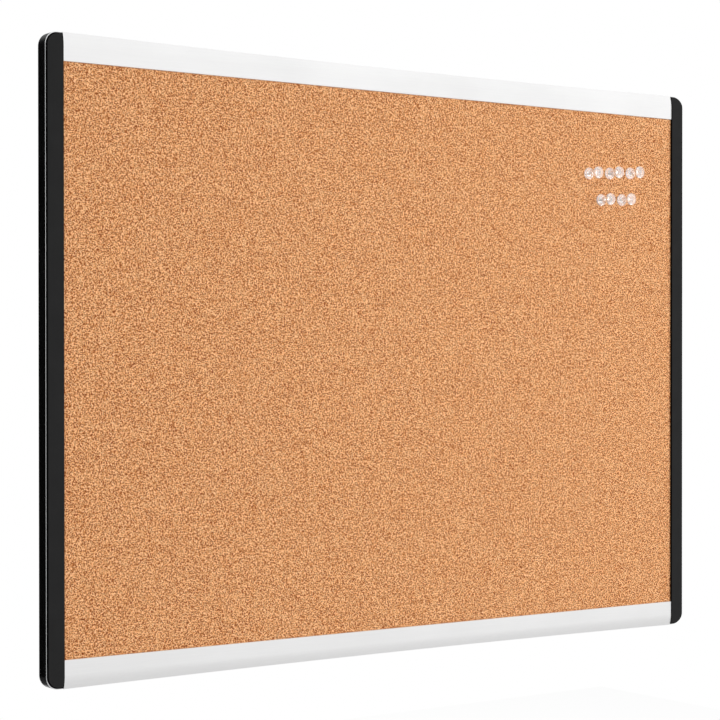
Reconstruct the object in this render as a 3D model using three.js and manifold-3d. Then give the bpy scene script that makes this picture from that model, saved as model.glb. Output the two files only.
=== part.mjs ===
import * as THREE from 'three';
import { mergeVertices } from 'three/addons/utils/BufferGeometryUtils.js';
import Module from 'manifold-3d';

const wasm = await Module();
wasm.setup();

// Wall-hung cork notice board. X runs along the board, Y into the wall and Z up.
// Y = 0 is the wall that the bumpers rest on, and Z = 0 the seat of the hangers' keyholes.

// Board outline, seen from the front
const boardWidth = 609.6;
const boardHeight = 457.2;
const cornerRadius = 9.8;
const cornerSteps = 8;

// The front falls back in a curve towards the top and bottom edges
const curveReach = 10;
const curveFall = 1.55;
const curveSteps = 6;

// Panel: cork on a soft core, closed by a thin backing
const corkRecess = 1.8;
const corkThickness = 2;
const coreThickness = 7.2;
const backingThickness = 0.6;
const panelEdgeClearance = 0.2;
const panelEndClearance = 0.3;
const panelRearClearance = 0.1;

// Rails: one extrusion, with a channel at the back
const railHeight = 20.4;
const railRecess = 0.6;
const railWall = 1.1;
const railOverhang = 2.6;
const railWaist = 1.8;
const railWaistSteps = 24;
const railEdgeRadius = 0.5;
const railEdgeSteps = 3;
const railEndClearance = 0.1;
const channelWidth = 7.8;
const channelLipThickness = 1.2;
const channelSlotWidth = 4.4;
const flangeThickness = 0.8;
const flangeReach = 5.4;

// End caps, with their front covers and the bright trim between them
const capWidth = 13.6;
const capSideWall = 3;
const coverInset = 0.5;
const coverThickness = 1.1;
const coverRimThickness = 1.5;
const coverEdgeRadius = 1.2;
const coverInnerEdgeRadius = 0.3;
const coverEdgeSteps = 4;
const coverFilletLimitShare = 0.8;
const coverColumnShares = [0.3, 0.65];
const coverPegDiameter = 4;
const coverPegLength = 5;
const coverPegFromEdge = 8;
const coverPegClearance = 0.1;
const coverPegSides = 20;
const trimWidth = 2;
const trimThickness = 0.6;
const layerClearance = 0.05;
const tongueLength = 15;
const tongueClearance = 0.2;
const tongueFrontClearance = 0.5;

// Cap screws
const screwFromEnd = 8;
const screwDiameter = 3;
const screwLength = 7.5;
const screwTipDiameter = 1.8;
const screwTipLength = 1.2;
const screwHoleClearance = 0.1;
const screwHeadDiameter = 6.5;
const screwHeadHeight = 1.6;
const screwHeadCrownShare = 0.5;
const screwCrossLength = 3.6;
const screwCrossWidth = 0.9;
const screwCrossDepth = 0.9;
const screwSides = 20;

// Hangers that slide in the top rail's channel
const hangerSpacing = 406.4;
const hangerLength = 24;
const hangerSliderThickness = 2.9;
const hangerPlateThickness = 1.3;
const hangerClearance = 0.2;
const hangerWallClearance = 0.3;
const hangerCornerRadius = 4;
const hangerCornerSteps = 5;
const keyholeFromEdge = 22;
const keyholeDiameter = 7.6;
const keyholeSlotWidth = 4.4;
const keyholeDrop = 7.5;
const keyholeRim = 5.5;
const keyholeSteps = 14;

// Rubber bumpers
const bumperDiameter = 9;
const bumperHeight = 3;
const bumperRounding = 0.7;
const bumperFromEdge = 9;
const bumperSides = 24;

// Push pins, in two rows that climb a little towards the right
const pinFlangeDiameter = 9.9;
const pinFlangeThickness = 1.25;
const pinWaistDiameter = 4.8;
const pinHeadDiameter = 9.9;
const pinHeadThickness = 1.9;
const pinLength = 13.2;
const pinRimRoundShare = 0.33;
const pinSides = 24;
const pinPitch = 23.3;
const topPinsFromRight = 61.6;
const topPinsFromTop = 69.3;
const topPinsRise = 1.3;
const bottomPinsFromRight = 71.3;
const bottomPinsFromTop = 92.4;
const bottomPinsRise = 1;

// Steel needles
const needleDiameter = 1.1;
const needleReach = 8.8;
const needleInBody = 7;
const needlePointLength = 2.2;
const needleFitClearance = 0.05;
const needleHoleClearance = 0.15;
const needleHoleDepthClearance = 0.1;
const needleSides = 12;

// A pin's neck between its head and its flange: how far along, and how far out from the waist to the rim
const pinNeckShares = [
  [0, 0.7],
  [0.06, 0.36],
  [0.2, 0.14],
  [0.5, 0],
  [0.82, 0.08],
  [0.94, 0.24],
  [1, 0.6],
];

// How far a cut runs past what it cuts
const overrun = 1;

const halfWidth = boardWidth / 2;
const halfHeight = boardHeight / 2;
const frameDepth = corkRecess + corkThickness + coreThickness + backingThickness
  + panelRearClearance + flangeThickness;
const frameFront = -(frameDepth + bumperHeight);
const capInner = halfWidth - capWidth;
const capMiddle = halfWidth - capWidth / 2;

// Sizes that end in FromEdge, and these, are distances from the board's top or bottom edge
const channelTop = railOverhang + railWall;
const channelBottom = channelTop + channelWidth;
const channelMiddle = (channelTop + channelBottom) / 2;
const webBottom = channelBottom + railWall;

// Depths are distances from the front plane of the covers, towards the wall
const coreDepth = corkRecess + corkThickness;
const backingDepth = coreDepth + coreThickness;
const flangeDepth = frameDepth - flangeThickness;
const channelLipDepth = frameDepth - channelLipThickness;
const wallDepth = frameDepth + bumperHeight;
const trimDepth = coverRimThickness + layerClearance;
const trimBackDepth = trimDepth + trimThickness;

function atDepth(depth) {
  return frameFront + depth;
}

// How far the front has fallen back at a distance from the top or bottom edge.
// It is straight between evenly spaced knots, so that stacked layers match.
function fallBack(fromEdge) {
  const place = fromEdge / curveReach * curveSteps;
  const knot = Math.floor(place);
  const atKnot = (index) => curveFall * Math.max(0, 1 - index / curveSteps) ** 2;
  return THREE.MathUtils.lerp(atKnot(knot), atKnot(knot + 1), place - knot);
}

function curveKnots() {
  return Array.from({ length: curveSteps + 1 }, (_, index) => curveReach * index / curveSteps);
}

function solidOf(geometry) {
  geometry.deleteAttribute('normal');
  geometry.deleteAttribute('uv');
  const merged = mergeVertices(geometry);
  const corners = merged.index.array;
  const kept = [];
  for (let first = 0; first < corners.length; first += 3) {
    const [a, b, c] = corners.slice(first, first + 3);
    if (a !== b && b !== c && c !== a) {
      kept.push(a, b, c);
    }
  }
  return new wasm.Manifold(new wasm.Mesh({
    numProp: 3,
    vertProperties: Float32Array.from(merged.attributes.position.array),
    triVerts: Uint32Array.from(kept),
  }));
}

function geometryOf(solid) {
  const mesh = solid.getMesh();
  const geometry = new THREE.BufferGeometry();
  geometry.setAttribute('position', new THREE.BufferAttribute(mesh.vertProperties, 3));
  geometry.setIndex(new THREE.BufferAttribute(mesh.triVerts, 1));
  geometry.computeVertexNormals();
  return geometry;
}

const unitX = new THREE.Vector3(1, 0, 0);
const unitY = new THREE.Vector3(0, 1, 0);
const unitZ = new THREE.Vector3(0, 0, 1);
const turnedAlongX = new THREE.Matrix4().makeBasis(unitY, unitZ, unitX);
const turnedAlongY = new THREE.Matrix4().makeBasis(unitX, unitZ, unitY.clone().negate());

function extruded(outline, length) {
  const shape = new THREE.Shape(outline.map(([u, v]) => new THREE.Vector2(u, v)));
  return new THREE.ExtrudeGeometry(shape, { depth: length, bevelEnabled: false });
}

// A prism along X from an outline of [y, z] points
function prismAlongX(outline, fromX, toX) {
  const geometry = extruded(outline, toX - fromX);
  geometry.applyMatrix4(turnedAlongX);
  geometry.translate(fromX, 0, 0);
  return solidOf(geometry);
}

// A prism along Y from an outline of [x, z] points
function prismAlongY(outline, frontY, backY) {
  const geometry = extruded(outline, backY - frontY);
  geometry.applyMatrix4(turnedAlongY);
  geometry.translate(0, backY, 0);
  return solidOf(geometry);
}

function block(fromX, toX, frontY, backY, fromZ, toZ) {
  const geometry = new THREE.BoxGeometry(toX - fromX, backY - frontY, toZ - fromZ);
  geometry.translate((fromX + toX) / 2, (frontY + backY) / 2, (fromZ + toZ) / 2);
  return solidOf(geometry);
}

// A turned piece about an axis along Y, from [radius, depth behind frontY] points
function turned(profile, x, frontY, z, sides) {
  const points = profile.map(([radius, depth]) => new THREE.Vector2(radius, depth));
  const geometry = new THREE.LatheGeometry(points, sides);
  geometry.translate(x, frontY, z);
  return solidOf(geometry);
}

function arcPoints(centreX, centreZ, radius, fromAngle, toAngle, steps) {
  return Array.from({ length: steps + 1 }, (_, index) => {
    const angle = THREE.MathUtils.lerp(fromAngle, toAngle, index / steps);
    return [centreX + radius * Math.cos(angle), centreZ + radius * Math.sin(angle)];
  });
}

function circlePoints(centreX, centreZ, radius, sides) {
  return arcPoints(centreX, centreZ, radius, 0, 2 * Math.PI, sides).slice(1);
}

function roundedRectangle(halfX, halfZ, radius, steps) {
  const corners = [[1, 1], [-1, 1], [-1, -1], [1, -1]];
  return corners.flatMap(([sideX, sideZ], quarter) => {
    const start = quarter * Math.PI / 2;
    const centreX = sideX * (halfX - radius);
    const centreZ = sideZ * (halfZ - radius);
    return arcPoints(centreX, centreZ, radius, start, start + Math.PI / 2, steps);
  });
}

// The board's outline, drawn in by an inset, through its whole depth
function outlinePrism(inset) {
  const outline = roundedRectangle(halfWidth - inset, halfHeight - inset, cornerRadius - inset, cornerSteps);
  return prismAlongY(outline, frameFront - overrun, overrun);
}

// Front points of a section over the board's whole height, from bottom to top
function curvedFront(depth) {
  const top = curveKnots().map((fromEdge) => [atDepth(depth + fallBack(fromEdge)), halfHeight - fromEdge]);
  const bottom = top.map(([y, z]) => [y, -z]);
  return [...bottom, ...top.reverse()];
}

// A layer of one cap that follows the curved front at both faces
function curvedLayer(side, fromDepth, toDepth) {
  const section = [...curvedFront(fromDepth), ...curvedFront(toDepth).reverse()];
  return prismAlongX(section, ...capSpan(side));
}

// The part of one cap that lies behind the curved front, as far as the cap's flat back
function behindCurve(side, fromDepth) {
  const section = [
    ...curvedFront(fromDepth),
    [atDepth(frameDepth), halfHeight],
    [atDepth(frameDepth), -halfHeight],
  ];
  return prismAlongX(section, ...capSpan(side));
}

function capSpan(side) {
  return side > 0 ? [capInner, halfWidth] : [-halfWidth, -capInner];
}

function span(side, near, far) {
  return [Math.min(side * near, side * far), Math.max(side * near, side * far)];
}

// Panel
const panelHalfWidth = halfWidth - capSideWall - panelEndClearance;
const panelHalfHeight = halfHeight - webBottom - panelEdgeClearance;

function panelLayer(fromDepth, toDepth) {
  return block(
    -panelHalfWidth, panelHalfWidth,
    atDepth(fromDepth), atDepth(toDepth),
    -panelHalfHeight, panelHalfHeight,
  );
}

// A row of pins from left to right, placed from its last pin
function pinRow(count, fromRight, fromTop, rise) {
  return Array.from({ length: count }, (_, index) => {
    const stepsBack = count - 1 - index;
    return {
      x: halfWidth - fromRight - pinPitch * stepsBack,
      z: halfHeight - fromTop - rise * stepsBack,
    };
  });
}

const pinPlaces = [
  ...pinRow(3, topPinsFromRight, topPinsFromTop, topPinsRise),
  ...pinRow(2, bottomPinsFromRight, bottomPinsFromTop, bottomPinsRise),
];

const needleHoleDepth = corkRecess + needleReach + needleHoleDepthClearance;

function withNeedleHoles(layer) {
  const radius = needleDiameter / 2 + needleHoleClearance;
  return pinPlaces.reduce((rest, { x, z }) => {
    const outline = circlePoints(x, z, radius, needleSides);
    return rest.subtract(prismAlongY(outline, atDepth(-overrun), atDepth(needleHoleDepth)));
  }, layer);
}

// Rails
function railSection(side) {
  const knots = curveKnots();
  const lipBack = corkRecess;
  const edgeArc = arcPoints(
    railRecess + railEdgeRadius, railHeight - railEdgeRadius, railEdgeRadius,
    Math.PI, Math.PI / 2, railEdgeSteps,
  );
  const outerLipBack = [railOverhang, ...knots.filter((t) => t < railOverhang).reverse()];
  const channelFront = [
    channelBottom,
    ...knots.filter((t) => t > channelTop && t < channelBottom).reverse(),
    channelTop,
  ];
  const slotTop = channelMiddle - channelSlotWidth / 2;
  const slotBottom = channelMiddle + channelSlotWidth / 2;
  const profile = [
    ...knots.map((t) => [railRecess + fallBack(t), t]),
    ...edgeArc,
    [lipBack, railHeight],
    [lipBack, webBottom],
    [flangeDepth, webBottom],
    [flangeDepth, webBottom + flangeReach],
    [frameDepth, webBottom + flangeReach],
    [frameDepth, slotBottom],
    [channelLipDepth, slotBottom],
    [channelLipDepth, channelBottom],
    ...channelFront.map((t) => [lipBack + fallBack(t), t]),
    [channelLipDepth, channelTop],
    [channelLipDepth, slotTop],
    [frameDepth, slotTop],
    [frameDepth, railOverhang],
    ...outerLipBack.map((t) => [lipBack + fallBack(t), t]),
  ];
  return profile.map(([depth, fromEdge]) => [atDepth(depth), side * (halfHeight - fromEdge)]);
}

// The rail's outer edge bows in towards the middle of its length
function waistCut(side, halfLength) {
  const reach = halfLength + overrun;
  const edge = Array.from({ length: railWaistSteps + 1 }, (_, index) => {
    const x = THREE.MathUtils.lerp(-reach, reach, index / railWaistSteps);
    return [x, side * (halfHeight - railWaist * (1 - (x / halfLength) ** 2))];
  });
  const outside = side * (halfHeight + overrun);
  return prismAlongY([...edge, [reach, outside], [-reach, outside]], frameFront - overrun, overrun);
}

function rail(side) {
  const halfLength = capInner - railEndClearance;
  return prismAlongX(railSection(side), -halfLength, halfLength).subtract(waistCut(side, halfLength));
}

// Cap covers
function fromOutline(x, z, inset) {
  const pastX = Math.abs(x) - (halfWidth - cornerRadius);
  const pastZ = Math.abs(z) - (halfHeight - cornerRadius);
  const past = pastX > 0 && pastZ > 0 ? Math.hypot(pastX, pastZ) : Math.max(pastX, pastZ);
  return cornerRadius - inset - past;
}

function roundedDrop(fromEdge, radius) {
  const short = Math.max(0, radius - fromEdge);
  return radius - Math.sqrt(Math.max(0, radius * radius - short * short));
}

const coverRadius = cornerRadius - coverInset;
const coverFillet = Math.min(coverEdgeRadius, coverFilletLimitShare * coverRimThickness);

function coverRows() {
  const corner = arcPoints(coverRadius, 0, coverRadius, Math.PI, Math.PI / 2, cornerSteps);
  const fromEdges = [...corner.map(([fromTop]) => coverInset + fromTop), ...curveKnots()]
    .filter((fromEdge) => fromEdge >= coverInset)
    .sort((a, b) => a - b)
    .filter((fromEdge, index, all) => index === 0 || fromEdge - all[index - 1] > layerClearance);
  const top = fromEdges.map((fromEdge) => halfHeight - fromEdge);
  return [...top.map((z) => -z), ...top.reverse()];
}

function coverOuterX(z) {
  const pastZ = Math.max(0, Math.abs(z) - (halfHeight - cornerRadius));
  return halfWidth - cornerRadius + Math.sqrt(Math.max(0, coverRadius * coverRadius - pastZ * pastZ));
}

function coverRow(side, z) {
  const outer = coverOuterX(z);
  const inner = capInner + coverInnerEdgeRadius;
  const fillet = arcPoints(coverFillet, 0, coverFillet, Math.PI, Math.PI / 2, coverEdgeSteps);
  const flatEnd = outer - coverFillet;
  const across = [
    capInner,
    inner,
    ...coverColumnShares.map((share) => THREE.MathUtils.lerp(inner, flatEnd, share)),
    ...fillet.map(([inwards]) => outer - inwards).reverse(),
  ];
  const row = across.map((x) => {
    const outerDrop = roundedDrop(fromOutline(x, z, coverInset), coverFillet);
    const innerDrop = roundedDrop(x - capInner, coverInnerEdgeRadius);
    const drop = Math.max(outerDrop, innerDrop);
    return [side * x, atDepth(fallBack(halfHeight - Math.abs(z)) + drop), z];
  });
  return side > 0 ? row : row.reverse();
}

// A closed block between a grid of front points and the plane y = backY.
// Each row runs towards +X, and the rows run towards +Z.
function gridBlock(rows, backY) {
  const columns = rows[0].length;
  const front = rows.flat();
  const back = front.map(([x, , z]) => [x, backY, z]);
  const frontAt = (row, column) => row * columns + column;
  const backAt = (row, column) => front.length + frontAt(row, column);
  const faces = [];
  const quad = (a, b, c, d) => faces.push(a, b, c, a, c, d);
  const lastRow = rows.length - 1;
  const lastColumn = columns - 1;
  for (let row = 0; row < lastRow; row += 1) {
    for (let column = 0; column < lastColumn; column += 1) {
      const around = [[row, column], [row, column + 1], [row + 1, column + 1], [row + 1, column]];
      quad(...around.map((place) => frontAt(...place)));
      quad(...around.reverse().map((place) => backAt(...place)));
    }
    quad(frontAt(row, 0), frontAt(row + 1, 0), backAt(row + 1, 0), backAt(row, 0));
    quad(
      frontAt(row + 1, lastColumn), frontAt(row, lastColumn),
      backAt(row, lastColumn), backAt(row + 1, lastColumn),
    );
  }
  for (let column = 0; column < lastColumn; column += 1) {
    quad(frontAt(0, column + 1), frontAt(0, column), backAt(0, column), backAt(0, column + 1));
    quad(
      frontAt(lastRow, column), frontAt(lastRow, column + 1),
      backAt(lastRow, column + 1), backAt(lastRow, column),
    );
  }
  const geometry = new THREE.BufferGeometry();
  geometry.setAttribute('position', new THREE.Float32BufferAttribute([...front, ...back].flat(), 3));
  geometry.setIndex(faces);
  return solidOf(geometry);
}

function atBothEnds(fromEdge, make) {
  return [halfHeight - fromEdge, fromEdge - halfHeight].map(make);
}

function capCover(side) {
  const blank = gridBlock(coverRows().map((z) => coverRow(side, z)), atDepth(frameDepth));
  const recess = curvedLayer(side, coverThickness, frameDepth).intersect(outlinePrism(trimWidth));
  const shell = blank
    .intersect(curvedLayer(side, -overrun, coverRimThickness))
    .subtract(recess);
  const pegs = atBothEnds(coverPegFromEdge, (z) => {
    const outline = circlePoints(side * capMiddle, z, coverPegDiameter / 2, coverPegSides);
    const root = (coverThickness + fallBack(coverPegFromEdge)) / 2;
    return prismAlongY(outline, atDepth(root), atDepth(coverThickness + coverPegLength));
  });
  return pegs.reduce((rest, peg) => rest.add(peg), shell);
}

function capTrim(side) {
  const ring = outlinePrism(0).subtract(outlinePrism(trimWidth));
  return curvedLayer(side, trimDepth, trimBackDepth).intersect(ring);
}

const tongueFront = corkRecess + fallBack(channelTop) + tongueFrontClearance;
const tongueBack = channelLipDepth - tongueClearance;
const screwX = capInner - screwFromEnd;

function tongue(side, end) {
  const [fromX, toX] = span(side, capInner - tongueLength, capInner + overrun);
  const [fromZ, toZ] = span(
    end,
    halfHeight - channelBottom + tongueClearance,
    halfHeight - channelTop - tongueClearance,
  );
  const hole = circlePoints(
    side * screwX, end * (halfHeight - channelMiddle),
    screwDiameter / 2 + screwHoleClearance, screwSides,
  );
  return block(fromX, toX, atDepth(tongueFront), atDepth(tongueBack), fromZ, toZ)
    .subtract(prismAlongY(hole, frameFront, 0));
}

function endCap(side) {
  const wall = behindCurve(side, trimBackDepth + layerClearance).intersect(outlinePrism(0));
  const core = behindCurve(side, coverThickness + layerClearance)
    .intersect(outlinePrism(trimWidth + layerClearance));
  const [slotFrom, slotTo] = span(side, capInner - overrun, halfWidth - capSideWall);
  const slot = block(
    slotFrom, slotTo, atDepth(corkRecess), atDepth(flangeDepth),
    webBottom - halfHeight, halfHeight - webBottom,
  );
  const sockets = atBothEnds(coverPegFromEdge, (z) => {
    const radius = coverPegDiameter / 2 + coverPegClearance;
    const outline = circlePoints(side * capMiddle, z, radius, coverPegSides);
    const bottom = coverThickness + coverPegLength + coverPegClearance;
    return prismAlongY(outline, frameFront - overrun, atDepth(bottom));
  });
  const solid = sockets.reduce((rest, socket) => rest.subtract(socket), wall.add(core).subtract(slot));
  return solid.add(tongue(side, 1)).add(tongue(side, -1));
}

// Cap screws
function capScrew(side, end) {
  const x = side * screwX;
  const z = end * (halfHeight - channelMiddle);
  const radius = screwDiameter / 2;
  const headRadius = screwHeadDiameter / 2;
  const crown = screwHeadHeight * screwHeadCrownShare;
  const top = screwLength + screwHeadHeight;
  const blank = turned([
    [0, 0],
    [screwTipDiameter / 2, 0],
    [radius, screwTipLength],
    [radius, screwLength],
    [headRadius, screwLength],
    [headRadius, top - crown],
    [headRadius - crown, top],
    [0, top],
  ], x, atDepth(frameDepth - screwLength), z, screwSides);
  const cross = [[screwCrossLength, screwCrossWidth], [screwCrossWidth, screwCrossLength]];
  const recessFront = atDepth(frameDepth + screwHeadHeight - screwCrossDepth);
  return cross.reduce((rest, [sizeX, sizeZ]) => rest.subtract(block(
    x - sizeX / 2, x + sizeX / 2, recessFront, atDepth(wallDepth), z - sizeZ / 2, z + sizeZ / 2,
  )), blank);
}

// Hangers
function keyholeOutline(x, seatZ) {
  const slotRadius = keyholeSlotWidth / 2;
  const radius = keyholeDiameter / 2;
  const meet = Math.acos(slotRadius / radius);
  return [
    ...arcPoints(x, seatZ, slotRadius, 0, Math.PI, keyholeSteps),
    ...arcPoints(x, seatZ - keyholeDrop, radius, Math.PI - meet, 2 * Math.PI + meet, 2 * keyholeSteps),
  ];
}

function hanger(side) {
  const x = side * hangerSpacing / 2;
  const fromX = x - hangerLength / 2;
  const toX = x + hangerLength / 2;
  const sliderBack = channelLipDepth - hangerClearance;
  const sliderFront = sliderBack - hangerSliderThickness;
  const plateBack = wallDepth - hangerWallClearance;
  const plateFront = plateBack - hangerPlateThickness;
  const neckHalf = channelSlotWidth / 2 - hangerClearance;
  const neckTop = halfHeight - channelMiddle + neckHalf;
  const neckBottom = halfHeight - channelMiddle - neckHalf;
  const seatZ = halfHeight - keyholeFromEdge;
  const plateBottom = seatZ - keyholeDrop - keyholeDiameter / 2 - keyholeRim;
  const slider = block(
    fromX, toX, atDepth(sliderFront), atDepth(sliderBack),
    halfHeight - channelBottom + hangerClearance, halfHeight - channelTop - hangerClearance,
  );
  const neck = block(
    fromX, toX,
    atDepth((sliderFront + sliderBack) / 2), atDepth((plateFront + plateBack) / 2),
    neckBottom, neckTop,
  );
  const radius = hangerCornerRadius;
  const outline = [
    [fromX, neckTop],
    ...arcPoints(fromX + radius, plateBottom + radius, radius, Math.PI, 1.5 * Math.PI, hangerCornerSteps),
    ...arcPoints(toX - radius, plateBottom + radius, radius, 1.5 * Math.PI, 2 * Math.PI, hangerCornerSteps),
    [toX, neckTop],
  ];
  const keyhole = prismAlongY(keyholeOutline(x, seatZ), frameFront, overrun);
  const plate = prismAlongY(outline, atDepth(plateFront), atDepth(plateBack)).subtract(keyhole);
  return slider.add(neck).add(plate);
}

// Bumpers
function bumper(side, end) {
  const radius = bumperDiameter / 2;
  return turned([
    [0, 0],
    [radius, 0],
    [radius, bumperHeight - bumperRounding],
    [radius - bumperRounding, bumperHeight],
    [0, bumperHeight],
  ], side * capMiddle, atDepth(frameDepth), end * (halfHeight - bumperFromEdge), bumperSides);
}

// Push pins: the profiles run from the viewer's end towards the cork
function pinBody({ x, z }) {
  const head = pinHeadDiameter / 2;
  const waist = pinWaistDiameter / 2;
  const flange = pinFlangeDiameter / 2;
  const bore = needleDiameter / 2 + needleFitClearance;
  const boreEnd = pinLength - needleInBody - needleFitClearance;
  const headRound = pinHeadThickness * pinRimRoundShare;
  const flangeRound = pinFlangeThickness * pinRimRoundShare;
  const collar = pinLength - pinFlangeThickness;
  const neck = pinNeckShares.map(([along, out]) => {
    const rim = along < 1 / 2 ? head : flange;
    return [
      THREE.MathUtils.lerp(waist, rim, out),
      THREE.MathUtils.lerp(pinHeadThickness, collar, along),
    ];
  });
  return turned([
    [0, 0],
    [head - headRound, 0],
    [head, headRound],
    [head, pinHeadThickness - headRound],
    ...neck,
    [flange, collar + flangeRound],
    [flange, pinLength - flangeRound],
    [flange - flangeRound, pinLength],
    [bore, pinLength],
    [bore, boreEnd],
    [0, boreEnd],
  ], x, atDepth(corkRecess - pinLength), z, pinSides);
}

function pinNeedle({ x, z }) {
  const radius = needleDiameter / 2;
  const length = needleInBody + needleReach;
  return turned([
    [0, 0],
    [radius, 0],
    [radius, length - needlePointLength],
    [0, length],
  ], x, atDepth(corkRecess - needleInBody), z, needleSides);
}

const finishes = {
  cork: { color: 0xd2955c, roughness: 0.9, metalness: 0 },
  core: { color: 0xa98a62, roughness: 0.95, metalness: 0 },
  backing: { color: 0x6b4a2f, roughness: 0.7, metalness: 0 },
  satinAluminium: { color: 0xeaebec, roughness: 0.35, metalness: 1 },
  coverPlastic: { color: 0x2c2c2c, roughness: 0.5, metalness: 0 },
  capPlastic: { color: 0x060606, roughness: 0.25, metalness: 0 },
  brightTrim: { color: 0xe2e2e4, roughness: 0.2, metalness: 1 },
  zincSteel: { color: 0xb9bbbe, roughness: 0.35, metalness: 1 },
  needleSteel: { color: 0xcfd2d6, roughness: 0.15, metalness: 1 },
  clearPlastic: { color: 0xf3f6fa, roughness: 0.05, metalness: 0, transparent: true, opacity: 0.4 },
  hangerPlastic: { color: 0x3a3a3b, roughness: 0.55, metalness: 0 },
  rubber: { color: 0x8d8f92, roughness: 0.8, metalness: 0 },
};

const board = new THREE.Group();
board.position.z = keyholeFromEdge - halfHeight;

function addPiece(name, solid, finish) {
  const mesh = new THREE.Mesh(geometryOf(solid), new THREE.MeshStandardMaterial(finish));
  mesh.name = name;
  board.add(mesh);
}

addPiece('cork_sheet', withNeedleHoles(panelLayer(corkRecess, coreDepth)), finishes.cork);
addPiece('core_board', withNeedleHoles(panelLayer(coreDepth, backingDepth)), finishes.core);
addPiece('backing_sheet', panelLayer(backingDepth, backingDepth + backingThickness), finishes.backing);

for (const [end, endName] of [[1, 'top'], [-1, 'bottom']]) {
  addPiece(`${endName}_rail`, rail(end), finishes.satinAluminium);
}

for (const [side, sideName] of [[-1, 'left'], [1, 'right']]) {
  addPiece(`${sideName}_end_cap`, endCap(side), finishes.capPlastic);
  addPiece(`${sideName}_cap_trim`, capTrim(side), finishes.brightTrim);
  addPiece(`${sideName}_cap_cover`, capCover(side), finishes.coverPlastic);
  addPiece(`${sideName}_hanger`, hanger(side), finishes.hangerPlastic);
  for (const [end, endName] of [[1, 'top'], [-1, 'bottom']]) {
    addPiece(`cap_screw_${endName}_${sideName}`, capScrew(side, end), finishes.zincSteel);
    addPiece(`bumper_${endName}_${sideName}`, bumper(side, end), finishes.rubber);
  }
}

pinPlaces.forEach((place, index) => {
  addPiece(`push_pin_${index + 1}_body`, pinBody(place), finishes.clearPlastic);
  addPiece(`push_pin_${index + 1}_needle`, pinNeedle(place), finishes.needleSteel);
});

export default board;
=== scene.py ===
# Looks of the cork notice board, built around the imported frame.
# Sizes are in millimetres unless a note says otherwise; mm turns them into metres.
import math

import bmesh
import bpy
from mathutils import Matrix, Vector


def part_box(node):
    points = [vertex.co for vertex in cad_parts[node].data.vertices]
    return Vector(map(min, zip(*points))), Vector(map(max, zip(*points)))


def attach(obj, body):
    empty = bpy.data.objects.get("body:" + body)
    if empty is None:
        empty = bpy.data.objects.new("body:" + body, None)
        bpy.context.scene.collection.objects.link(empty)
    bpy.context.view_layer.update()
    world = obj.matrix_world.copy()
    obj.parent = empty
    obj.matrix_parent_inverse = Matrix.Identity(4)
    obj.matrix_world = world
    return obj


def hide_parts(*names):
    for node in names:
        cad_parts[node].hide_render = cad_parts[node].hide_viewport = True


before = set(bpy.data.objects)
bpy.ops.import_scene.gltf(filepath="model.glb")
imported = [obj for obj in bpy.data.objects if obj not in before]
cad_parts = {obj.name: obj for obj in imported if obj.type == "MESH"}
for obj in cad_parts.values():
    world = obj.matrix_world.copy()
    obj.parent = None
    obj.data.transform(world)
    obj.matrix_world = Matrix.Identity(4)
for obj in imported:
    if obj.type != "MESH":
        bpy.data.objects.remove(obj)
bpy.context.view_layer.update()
mm = 0.001
quarter = math.pi / 2

board = {
    "frontY": -15.5,  # the covers' front plane in the shared frame
    "middleZ": -206.6,
    "halfWidth": 304.8,
    "halfHeight": 228.6,
    "depth": 12.5,
    "cornerRadius": 9.8,
    "curveReach": 10,  # the front falls back towards the top and bottom edges
    "curveFall": 1.55,
    "curveSteps": 12,
    "capInner": 291.2,
    "spare": 6,  # caps start wider than they are, and are cut to their inner edge
}
cornerNames = [f"{end}_{side}" for end in ("top", "bottom") for side in ("left", "right")]


# a point from x, the depth behind the front plane, and the height above the board's middle
def at(x, depth, up):
    return Vector((x, board["frontY"] + depth, board["middleZ"] + up)) * mm


def placeOf(point):
    return point.x / mm, point.y / mm - board["frontY"], point.z / mm - board["middleZ"]


def middleOf(node):
    low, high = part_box(node)
    return (low + high) / 2


def near(a, b, slack=0.02):
    return abs(a - b) < slack


# how far the front falls back at a distance from the top or bottom edge
def fallBack(fromEdge):
    return board["curveFall"] * max(0, 1 - fromEdge / board["curveReach"]) ** 2


def curveStations():
    steps = board["curveSteps"]
    return [board["curveReach"] * step / steps for step in range(1, steps + 1)]


# points of an arc about a centre, as pairs
def arc(across, along, radius, fromTurn, toTurn, steps):
    turns = [fromTurn + (toTurn - fromTurn) * step / steps for step in range(steps + 1)]
    return [(across + radius * math.cos(turn), along + radius * math.sin(turn)) for turn in turns]


def deselect():
    bpy.ops.object.select_all(action="DESELECT")


def takeUp(piece):
    deselect()
    piece.select_set(True)
    bpy.context.view_layer.objects.active = piece


def startEdit(piece):
    takeUp(piece)
    bpy.ops.object.mode_set(mode="EDIT")


def endEdit():
    bpy.ops.object.mode_set(mode="OBJECT")


def pickAll():
    bpy.ops.mesh.select_all(action="SELECT")


# selects the vertices, edges or faces of the piece in edit mode that pass a test
def pick(kind, wanted):
    mesh = bpy.context.edit_object.data
    bpy.ops.mesh.select_mode(type=kind)
    bpy.ops.mesh.select_all(action="DESELECT")
    shape = bmesh.from_edit_mesh(mesh)
    for part in {"VERT": shape.verts, "EDGE": shape.edges, "FACE": shape.faces}[kind]:
        if wanted(part):
            part.select = True
    shape.select_flush_mode()
    bmesh.update_edit_mesh(mesh)


# a test for faces that look in one direction
def facing(x, y, z):
    return lambda face: face.normal.dot(Vector((x, y, z))) > 0.99


def extrudeBy(x, y, z):
    bpy.ops.mesh.extrude_region_move(TRANSFORM_OT_translate={"value": (x * mm, y * mm, z * mm)})


def bevelPicked(width, segments):
    bpy.ops.mesh.bevel(offset=width * mm, segments=segments, affect="EDGES", clamp_overlap=False)


def mergeDoubles():
    pickAll()
    bpy.ops.mesh.remove_doubles(threshold=0.001 * mm)


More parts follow.
